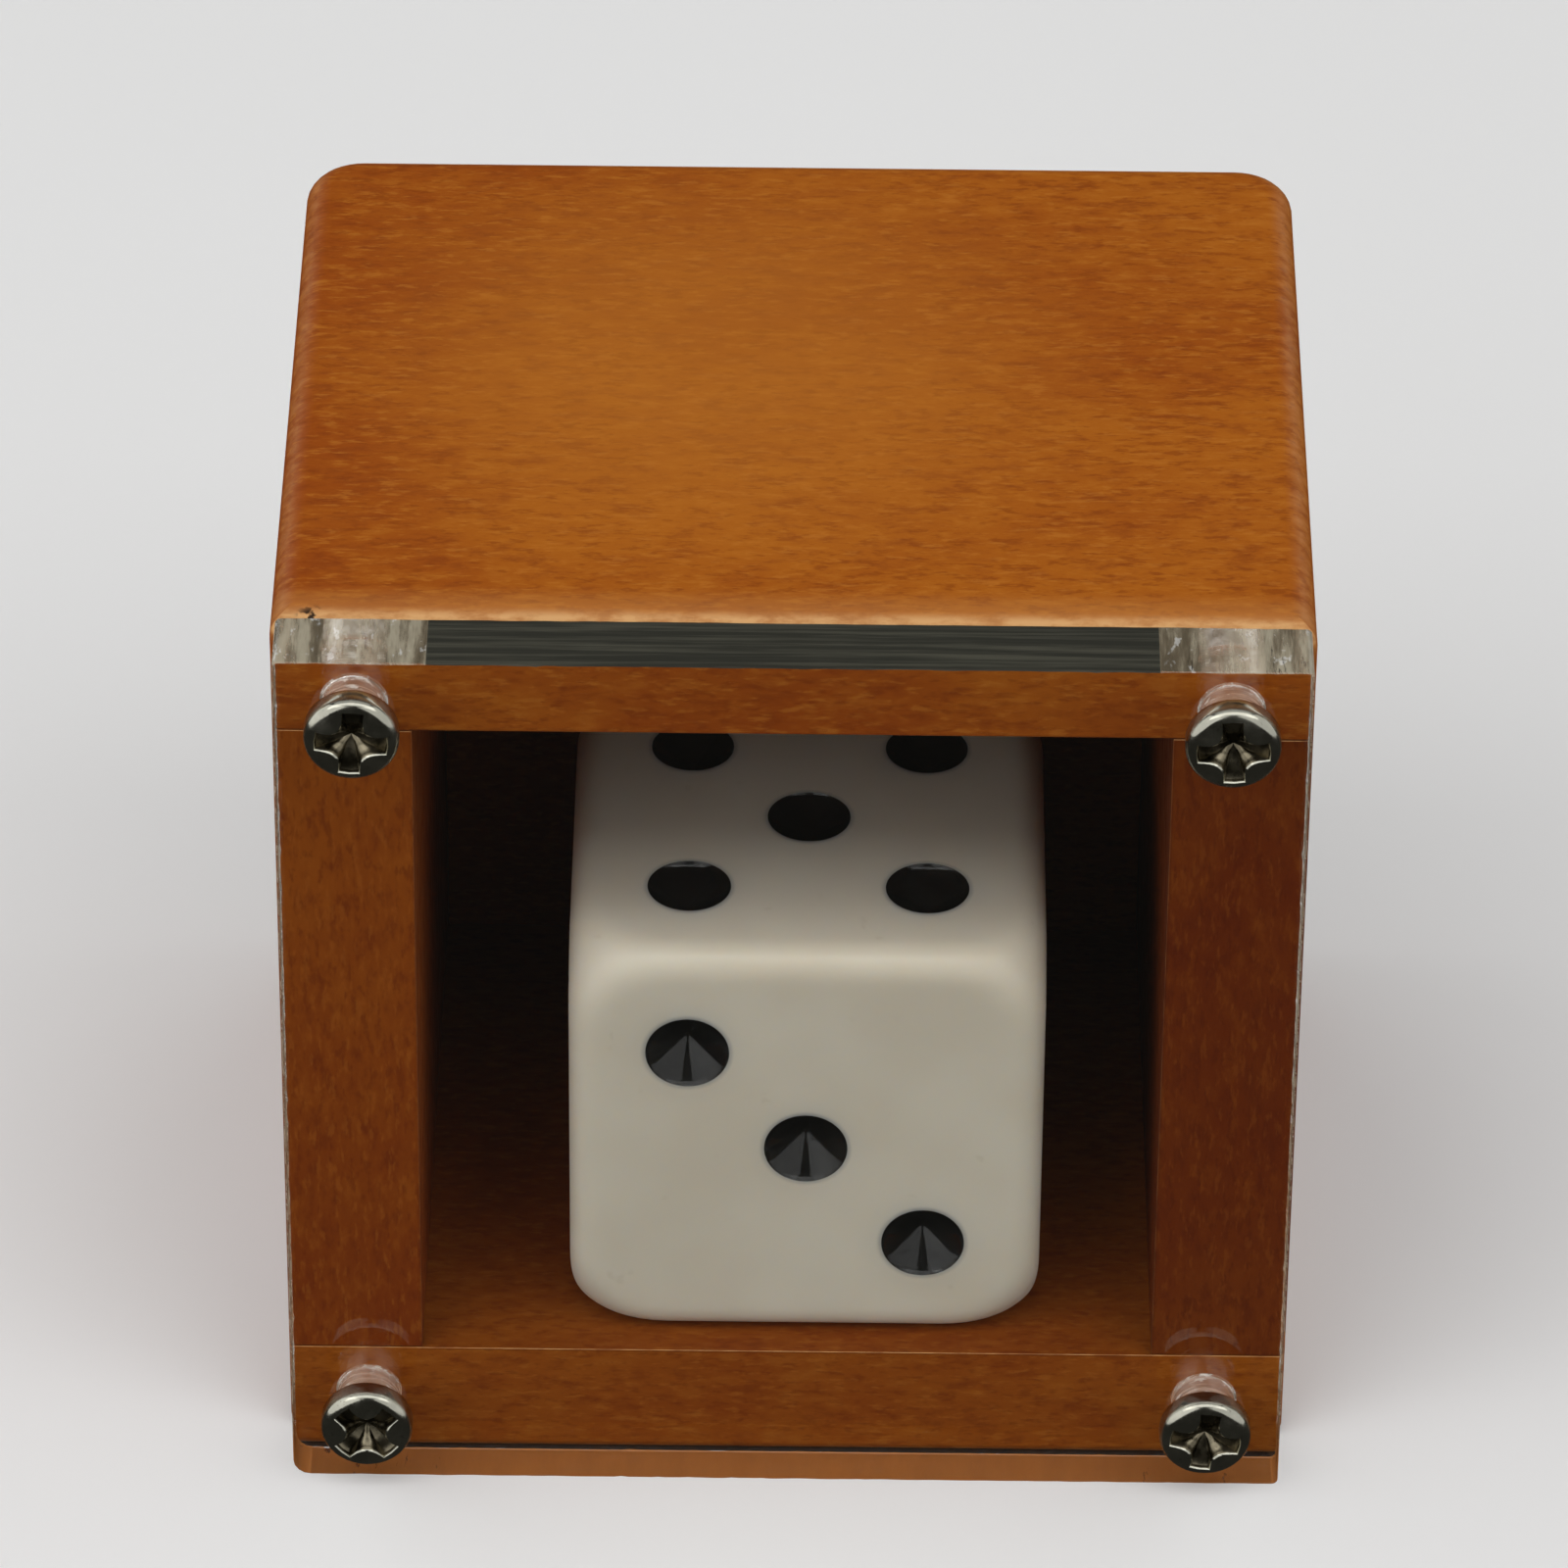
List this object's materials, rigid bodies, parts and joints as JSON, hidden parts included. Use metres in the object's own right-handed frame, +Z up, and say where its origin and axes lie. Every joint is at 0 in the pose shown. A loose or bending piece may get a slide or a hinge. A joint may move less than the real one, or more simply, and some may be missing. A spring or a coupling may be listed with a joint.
{
  "type": "die box",
  "caption": "Small wooden box with a clear screwed-on window holding one loose six-sided die",
  "frame": {"origin": "middle of the base, under the centre of the whole object with its screw heads", "axes": "+Z up; the clear window faces -Y; +X to the right when facing the window"},
  "size_m": [0.0406, 0.0378, 0.0404],
  "materials": {
    "stained_wood": "warm brown stain, satin, fine grain",
    "clear_acrylic": "clear polished sheet with sawn edges",
    "nickel_plate": "nickel plated steel, slightly dull",
    "ivory_plastic": "ivory white gloss with black pips",
    "pip_paint": "gloss black paint in the pips"
  },
  "bodies": {
    "box": {"top_board": "stained_wood", "bottom_board": "stained_wood", "left_board": "stained_wood", "right_board": "stained_wood", "back_board": "stained_wood"},
    "window": {"window_plate": "clear_acrylic"},
    "upper_left_screw": {"screw_top_left": "nickel_plate"},
    "upper_right_screw": {"screw_top_right": "nickel_plate"},
    "lower_left_screw": {"screw_bottom_left": "nickel_plate"},
    "lower_right_screw": {"screw_bottom_right": "nickel_plate"},
    "loose_die": {"die": "ivory_plastic"}
  },
  "joints": [
    {"name": "die_rattle", "type": "slide", "parent": "box", "child": "loose_die", "axis": [1, 0, 0], "range_m": [-0.0059, 0.0045]},
    {"name": "window_removal", "type": "slide", "parent": "box", "child": "window", "axis": [0, -1, 0], "range_m": [0, 0.045]},
    {"name": "upper_left_screw_out", "type": "slide", "parent": "window", "child": "upper_left_screw", "axis": [0, -1, 0], "range_m": [0, 0.0055]},
    {"name": "upper_right_screw_out", "type": "slide", "parent": "window", "child": "upper_right_screw", "axis": [0, -1, 0], "range_m": [0, 0.0055]},
    {"name": "lower_left_screw_out", "type": "slide", "parent": "window", "child": "lower_left_screw", "axis": [0, -1, 0], "range_m": [0, 0.0055]},
    {"name": "lower_right_screw_out", "type": "slide", "parent": "window", "child": "lower_right_screw", "axis": [0, -1, 0], "range_m": [0, 0.0055]}
  ]
}
